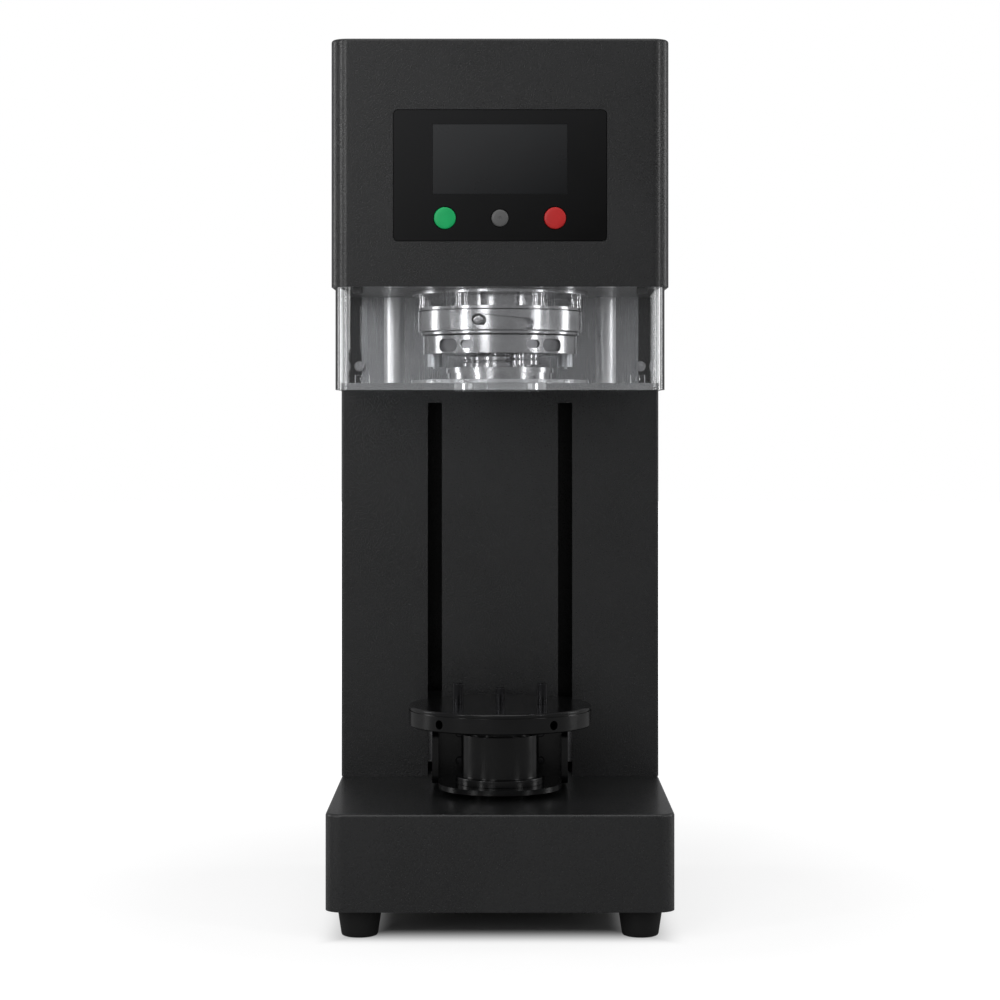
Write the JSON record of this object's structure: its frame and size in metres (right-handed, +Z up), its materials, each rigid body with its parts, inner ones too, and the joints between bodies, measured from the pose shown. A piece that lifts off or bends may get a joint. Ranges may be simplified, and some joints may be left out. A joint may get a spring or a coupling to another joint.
{
  "type": "cup sealing machine",
  "caption": "Bench machine that rolls a lid onto a cup: slotted column, rising round table, clear guard around a roller seaming head, control panel above.",
  "frame": {"origin": "middle of the bounding box's bottom face, on the surface that the feet stand on", "axes": "+X to the machine's right as seen from the front, +Y towards its back, +Z up"},
  "size_m": [0.24, 0.3, 0.621],
  "materials": {
    "black_powder_coat": "fine textured black powder coat",
    "rubber": "moulded black rubber",
    "zinc_steel": "zinc-plated steel",
    "black_steel": "black oxide, satin",
    "polished_steel": "ground and polished steel",
    "bright_aluminium": "turned and polished aluminium",
    "black_plastic": "moulded black",
    "screen": "dark display glass",
    "green_plastic": "satin green",
    "grey_plastic": "satin grey",
    "red_plastic": "satin red",
    "circuit_green": "circuit board",
    "grey_motor_paint": "satin",
    "clear_acrylic": "clear polished acrylic"
  },
  "bodies": {
    "frame": {"base_shell": "black_powder_coat", "base_plate": "black_powder_coat", "rubber_feet": "rubber", "foot_screws": "zinc_steel", "power_supply": "grey_motor_paint", "column_shell": "black_powder_coat", "column_back_panel": "black_powder_coat", "case_screws": "polished_steel", "power_inlet": "black_plastic", "bearing_plates": "zinc_steel", "guide_rods": "polished_steel", "lift_motor": "grey_motor_paint", "ball_bearings": "polished_steel", "limit_switches": "black_plastic", "head_shell": "black_powder_coat", "head_floor": "black_powder_coat", "control_bezel": "black_plastic", "display_module": "screen", "button_housings": "black_plastic", "control_board": "circuit_green", "guard_shell": "clear_acrylic", "guard_floor": "clear_acrylic", "backsplash": "bright_aluminium", "can_guide_ring": "bright_aluminium", "seamer_housing": "bright_aluminium", "guide_sleeve": "bright_aluminium", "cam_motor": "grey_motor_paint", "chuck": "bright_aluminium", "chuck_shaft": "polished_steel", "drive_belt": "rubber", "drive_bridge": "zinc_steel", "seaming_motor": "grey_motor_paint"},
    "lift_screw": {"lead_screw": "polished_steel"},
    "lift_carriage": {"carriage_block": "bright_aluminium", "carriage_bushes": "bright_aluminium", "carriage_arms": "black_steel", "carriage_tray": "black_steel", "table_hub": "black_steel", "table_spring": "polished_steel"},
    "lift_table": {"table_disc": "black_steel", "table_top_plate": "black_steel", "locating_pins": "polished_steel"},
    "green_key": {"green_button": "green_plastic"},
    "grey_key": {"grey_button": "grey_plastic"},
    "red_key": {"red_button": "red_plastic"},
    "rocker": {"power_rocker": "black_plastic"},
    "cam": {"cam_ring": "bright_aluminium"},
    "cam_drive": {"cam_pinion": "bright_aluminium"},
    "thrust": {"thrust_ring": "bright_aluminium", "cam_pins": "polished_steel"},
    "cone": {"push_cone": "polished_steel"},
    "turret": {"turret_body": "bright_aluminium", "turret_cover": "bright_aluminium", "lever_pivots": "zinc_steel", "spindle": "polished_steel"},
    "lever_a": {"first_lever": "polished_steel"},
    "lever_b": {"second_lever": "polished_steel"},
    "roller_a": {"first_roller": "polished_steel"},
    "roller_b": {"second_roller": "polished_steel"},
    "motor_drive": {"motor_pulley": "bright_aluminium"}
  },
  "joints": [
    {"name": "lift_slide", "type": "slide", "parent": "frame", "child": "lift_carriage", "axis": [0, 0, 1], "range_m": [0, 0.2]},
    {"name": "screw_turn", "type": "hinge", "parent": "frame", "child": "lift_screw", "pos_m": [0, 0.092, 0.2], "axis": [0, 0, 1], "range_deg": [-9001, 0]},
    {"name": "table_press", "type": "slide", "parent": "lift_carriage", "child": "lift_table", "axis": [0, 0, 1], "range_m": [-0.006, 0], "stiffness_N_per_m": 4000, "springref_m": 0.01, "deforming": ["table_spring"]},
    {"name": "green_press", "type": "slide", "parent": "frame", "child": "green_key", "axis": [0, 1, 0], "range_m": [0, 0.0015], "stiffness_N_per_m": 900, "springref_m": -0.002},
    {"name": "grey_press", "type": "slide", "parent": "frame", "child": "grey_key", "axis": [0, 1, 0], "range_m": [0, 0.0015], "stiffness_N_per_m": 900, "springref_m": -0.002},
    {"name": "red_press", "type": "slide", "parent": "frame", "child": "red_key", "axis": [0, 1, 0], "range_m": [0, 0.0015], "stiffness_N_per_m": 900, "springref_m": -0.002},
    {"name": "rocker_tilt", "type": "hinge", "parent": "frame", "child": "rocker", "pos_m": [-0.057, 0.14398, 0.13], "axis": [1, 0, 0], "range_deg": [0, 16]},
    {"name": "cam_turn", "type": "hinge", "parent": "frame", "child": "cam", "pos_m": [0, -0.05, 0.4271], "axis": [0, 0, 1], "range_deg": [-34, 0]},
    {"name": "pinion_turn", "type": "hinge", "parent": "frame", "child": "cam_drive", "pos_m": [0.03288, 0.01741, 0.4271], "axis": [0, 0, 1], "range_deg": [-0.5, 179]},
    {"name": "thrust_slide", "type": "slide", "parent": "frame", "child": "thrust", "axis": [0, 0, 1], "range_m": [-0.00305, 0]},
    {"name": "turret_spin", "type": "hinge", "parent": "frame", "child": "turret", "pos_m": [0, -0.05, 0.41], "axis": [0, 0, 1], "continuous": true},
    {"name": "motor_spin", "type": "hinge", "parent": "frame", "child": "motor_drive", "pos_m": [0, 0.075, 0.49], "axis": [0, 0, 1], "continuous": true},
    {"name": "cone_slide", "type": "slide", "parent": "turret", "child": "cone", "axis": [0, 0, 1], "range_m": [-0.00305, 0]},
    {"name": "lever_a_swing", "type": "hinge", "parent": "turret", "child": "lever_a", "pos_m": [-0.047, -0.05, 0.409], "axis": [0, 0, 1], "range_deg": [-6.4, 0]},
    {"name": "lever_b_swing", "type": "hinge", "parent": "turret", "child": "lever_b", "pos_m": [0.047, -0.05, 0.409], "axis": [0, 0, 1], "range_deg": [-6.1, 0]},
    {"name": "roller_a_spin", "type": "hinge", "parent": "lever_a", "child": "roller_a", "pos_m": [-0.018, -0.01882, 0.399], "axis": [0, 0, 1], "continuous": true},
    {"name": "roller_b_spin", "type": "hinge", "parent": "lever_b", "child": "roller_b", "pos_m": [0.018, -0.08118, 0.399], "axis": [0, 0, 1], "continuous": true}
  ],
  "couplings": [
    {"joint": "screw_turn", "follows": "lift_slide", "rad_per_m": -785.4},
    {"joint": "pinion_turn", "follows": "cam_turn", "ratio": -5.25},
    {"joint": "thrust_slide", "follows": "cam_turn", "m_per_rad": 0.0050555},
    {"joint": "cone_slide", "follows": "cam_turn", "m_per_rad": 0.0050555},
    {"joint": "lever_a_swing", "follows": "cam_turn", "ratio": 0.18529},
    {"joint": "lever_b_swing", "follows": "cam_turn", "ratio": 0.17647},
    {"joint": "motor_spin", "follows": "turret_spin", "ratio": 2}
  ]
}
